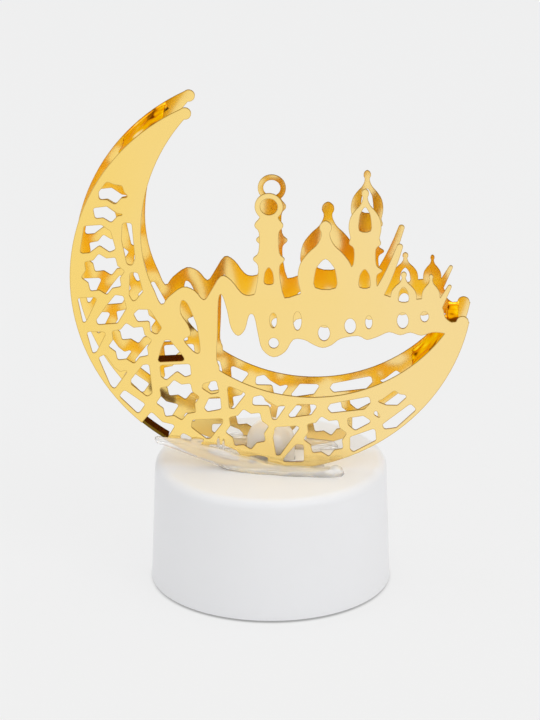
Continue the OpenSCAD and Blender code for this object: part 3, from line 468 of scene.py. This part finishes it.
glue_body(
    "glue_front_bead", "glue_front",
    [[(-35.6, -9.0, 49.3, 0.4, 0.5), (-34.5, -9.1, 48.9, 1.1, 1.3), (-30, -9.2, 47.9, 1.4, 1.8),
      (-25, -9.3, 46.9, 1.6, 2.4), (-20, -9.4, 45.0, 1.7, 2.6), (-15, -9.6, 43.4, 2.1, 3.0),
      (-10, -9.9, 41.9, 2.6, 3.2), (-5, -10.2, 40.9, 3.0, 2.9), (0, -10.5, 40.3, 3.4, 2.0),
      (5, -10.8, 40.0, 4.0, 1.4), (11, -11.2, 39.9, 4.4, 1.3), (16, -11.8, 39.9, 4.0, 1.3),
      (20.5, -12.4, 40.0, 3.4, 1.6), (22.6, -12.6, 40.0, 2.2, 1.2), (23.4, -12.6, 40, 0.6, 0.5)],
     [(-33, -9.6, 49.6, 0.4, 0.4), (-29, -10.1, 49.0, 0.7, 0.7), (-22, -10.4, 47.6, 0.9, 0.9),
      (-15, -10.8, 45.9, 1.0, 0.9), (-8, -11.2, 43.9, 1.0, 0.8), (-2, -11.8, 42.2, 0.9, 0.7),
      (4, -12.2, 41.0, 0.7, 0.6)],
     [(-14, -11.6, 41.2, 0.3, 0.3), (-4, -13.2, 40.5, 0.8, 0.8), (6, -14.6, 40.6, 0.9, 0.9),
      (15, -15.0, 40.8, 1.0, 1.0), (21, -14.2, 40.9, 1.2, 1.3), (23, -13.4, 40.5, 0.6, 0.6)],
     [(-12, -7.6, 40.6, 0.5, 0.9), (-5, -7.2, 40.8, 0.9, 1.5), (4, -7.4, 40.7, 0.8, 1.7),
      (12, -7.3, 40.6, 0.9, 1.5), (17, -7.6, 40.2, 0.5, 0.9)]],
    [(-15.8, -9.6, 48.3, 0.5, 0.6, 1.9), (-14.2, -9.6, 47.6, 0.45, 0.6, 1.9),
     (-22.5, -9.4, 48.9, 2.4, 0.9, 0.8), (20.8, -13.2, 41.6, 2.2, 1.8, 1.3)],
    3.0)
glue_body(
    "glue_rear_bead", "glue_rear",
    [[(-22, 8.8, 40.4, 0.6, 0.6), (-20, 8.8, 41.0, 2.0, 2.2), (-12, 9.0, 41.2, 2.8, 2.8),
      (-4, 9.3, 41.0, 3.0, 2.6), (6, 9.0, 41.0, 2.8, 2.9), (14, 9.2, 40.8, 2.6, 2.4),
      (19, 9.0, 40.6, 1.8, 1.8), (20.6, 9.0, 40.3, 0.5, 0.5)],
     [(-17, 10.4, 42.2, 0.4, 0.4), (-8, 11.0, 42.4, 0.9, 0.8), (3, 11.2, 42.0, 0.9, 0.8),
      (12, 10.8, 42.0, 0.8, 0.7), (17, 10.2, 41.6, 0.4, 0.4)]],
    [(-9, 10.4, 41.0, 2.6, 1.8, 1.6), (9, 10.2, 41.2, 2.2, 1.6, 1.8)],
    7.0)


# Floor, light and camera

PAPER = 0.868                         # the background's even grey, 239 of 255
PAPER_SHARE = 0.85                    # its share in what shows, lit paper is the rest
FLOOR_SHEEN = 0.11                    # how much brighter metal mirrors the floor
CONTACT_REACH = 2.5 * MM              # how far the painted contact shadow reaches out from the base
CONTACT_FROM, CONTACT_TO = 0.15, 0.7  # open share: darkest painted shadow below, plain grey above
CONTACT_SHADOW_TONE = 0.42                   # share of the grey that is left in that painted shadow


def floor_material():
    """Pale floor that keeps the object's shadow, shows the same grey to the camera and paints a
    contact shadow along the base.
    """
    mat, tree, shader = material("floor_paper", (0.9, 0.9, 0.9), 0.9)
    path = add(tree, "ShaderNodeLightPath").outputs
    seen = calc(tree, "ADD", path["Is Camera Ray"], path["Is Glossy Ray"], clamp=True)
    seen = calc(tree, "ADD", seen, path["Is Transmission Ray"], clamp=True)
    share = calc(tree, "MULTIPLY", seen, PAPER_SHARE)
    glow = add(tree, "ShaderNodeEmission")
    glow.inputs["Color"].default_value = (PAPER, PAPER, PAPER, 1)
    lit = calc(tree, "MULTIPLY_ADD", path["Is Glossy Ray"], FLOOR_SHEEN, 1.0)
    # painted contact shadow: occlusion darkens the floor's glow next to the base
    under = add(tree, "ShaderNodeAmbientOcclusion", samples=16, Distance=CONTACT_REACH)
    contact = remap(tree, under.outputs["AO"], CONTACT_FROM, CONTACT_TO, CONTACT_SHADOW_TONE)
    tree.links.new(calc(tree, "MULTIPLY", lit, contact), glow.inputs["Strength"])
    mixed = add(tree, "ShaderNodeMixShader")
    tree.links.new(share, mixed.inputs["Fac"])
    tree.links.new(shader.outputs["BSDF"], mixed.inputs[1])
    tree.links.new(glow.outputs["Emission"], mixed.inputs[2])
    tree.links.new(mixed.outputs["Shader"], tree.nodes["Material Output"].inputs["Surface"])
    return mat


FLOOR_HALF = 4.0
grid = bmesh.new()
bmesh.ops.create_grid(grid, x_segments=2, y_segments=2, size=FLOOR_HALF)
floor_mesh = bpy.data.meshes.new("floor")
grid.to_mesh(floor_mesh)
grid.free()
floor = bpy.data.objects.new("floor", floor_mesh)
floor.data.materials.append(floor_material())
bpy.context.collection.objects.link(floor)

HORIZON, ZENITH = 0.56, 1.04  # strength of the studio's light from the side and from above
STUDIO_SHEEN = 0.38           # how much brighter metal mirrors it

world = bpy.data.worlds.new("studio")
bpy.context.scene.world = world
world.use_nodes = True
sky = world.node_tree
back = sky.nodes["Background"]
back.inputs["Color"].default_value = (0.9, 0.9, 0.9, 1)
overhead = remap(sky, coordinate(sky, "Generated")["Z"], 0.0, 1.0, HORIZON, ZENITH)
glossy = add(sky, "ShaderNodeLightPath").outputs["Is Glossy Ray"]
sky.links.new(calc(sky, "MULTIPLY_ADD", glossy, STUDIO_SHEEN, overhead),
              back.inputs["Strength"])


def area_lamp(name, place, target, size, power, color):
    data = bpy.data.lights.new(name, "AREA")
    data.color = color
    data.shape = "RECTANGLE"
    data.size, data.size_y = size
    data.energy = power
    lamp = bpy.data.objects.new(name, data)
    lamp.location = place
    lamp.rotation_euler = (Vector(target) - Vector(place)).to_track_quat("-Z", "Y").to_euler()
    bpy.context.collection.objects.link(lamp)
    return lamp


AIM = (0, 0, 0.08)
for label, place, size, power, color in (
        ("key_soft_box", (0.9, -0.9, 1.1), (0.9, 0.9), 4.7, (1, 1, 1)),
        ("fill_soft_box", (-1.2, -0.5, 0.7), (0.8, 1.0), 0.4, (1, 1, 1)),
        ("top_soft_box", (-0.12, 0.03, 1.3), (0.5, 0.5), 2.0, (0.78, 0.89, 1.0))):
    area_lamp(label, place, AIM, size, power, color)

# Warm light that the gilt throws on the base between the two sheets
gap_fill = area_lamp("gap_fill", (0, 0, BASE_TOP + 38 * MM), (0, 0, BASE_TOP),
                     (60 * MM, 10 * MM), 0.0036, (1.0, 0.76, 0.38))
gap_fill.visible_camera = False
gap_fill.visible_glossy = False
gap_fill.visible_transmission = False

CAMERA_TARGET = Vector((-0.25 * MM, 0, 72.6 * MM))
CAMERA_AZIMUTH = math.radians(3.045)
CAMERA_ELEVATION = math.radians(21.385)
CAMERA_DISTANCE = 1.6
CAMERA_FOV = math.radians(7.986)

camera_data = bpy.data.cameras.new("camera")
camera_data.sensor_fit = "VERTICAL"
camera_data.angle = CAMERA_FOV
camera_data.clip_start = 0.1
camera_data.clip_end = 20
camera = bpy.data.objects.new("camera", camera_data)
away = Vector((math.sin(CAMERA_AZIMUTH) * math.cos(CAMERA_ELEVATION),
               -math.cos(CAMERA_AZIMUTH) * math.cos(CAMERA_ELEVATION),
               math.sin(CAMERA_ELEVATION)))
camera.location = CAMERA_TARGET + away * CAMERA_DISTANCE
camera.rotation_euler = (-away).to_track_quat("-Z", "Y").to_euler()
bpy.context.collection.objects.link(camera)
bpy.context.scene.camera = camera
bpy.context.scene.view_settings.view_transform = "Standard"
